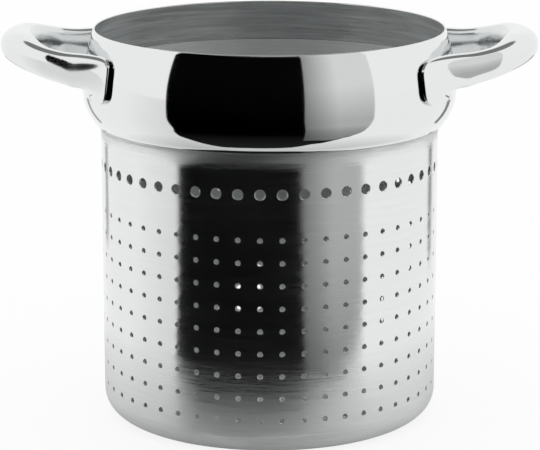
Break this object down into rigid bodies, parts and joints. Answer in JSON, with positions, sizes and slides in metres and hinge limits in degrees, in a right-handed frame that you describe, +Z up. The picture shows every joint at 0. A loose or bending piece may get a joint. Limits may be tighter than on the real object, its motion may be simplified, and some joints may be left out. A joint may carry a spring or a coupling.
{
  "type": "pasta pot strainer insert",
  "caption": "Deep perforated steel strainer basket with a swelling polished collar that rests on a pot's rim, lifted by looped handles.",
  "frame": {"origin": "centre of the basket's underside, on the surface that the insert stands on", "axes": "+Z up along the basket's axis; +X towards the right handle; +Y away from the viewer of the picture"},
  "size_m": [0.333, 0.232, 0.245],
  "materials": {
    "brushed_basket": "brushed round the basket, low sheen",
    "polished_collar": "mirror polished stainless steel",
    "polished_handle": "mirror polished cast stainless steel",
    "weld_bead": "dull weld metal, lightly brushed"
  },
  "bodies": {
    "root": {"perforated_basket": "brushed_basket", "rim_collar": "polished_collar", "seam_weld": "weld_bead", "handle_left": "polished_handle", "handle_right": "polished_handle", "studs_front_left": "weld_bead", "studs_back_left": "weld_bead", "studs_front_right": "weld_bead", "studs_back_right": "weld_bead"}
  },
  "joints": []
}
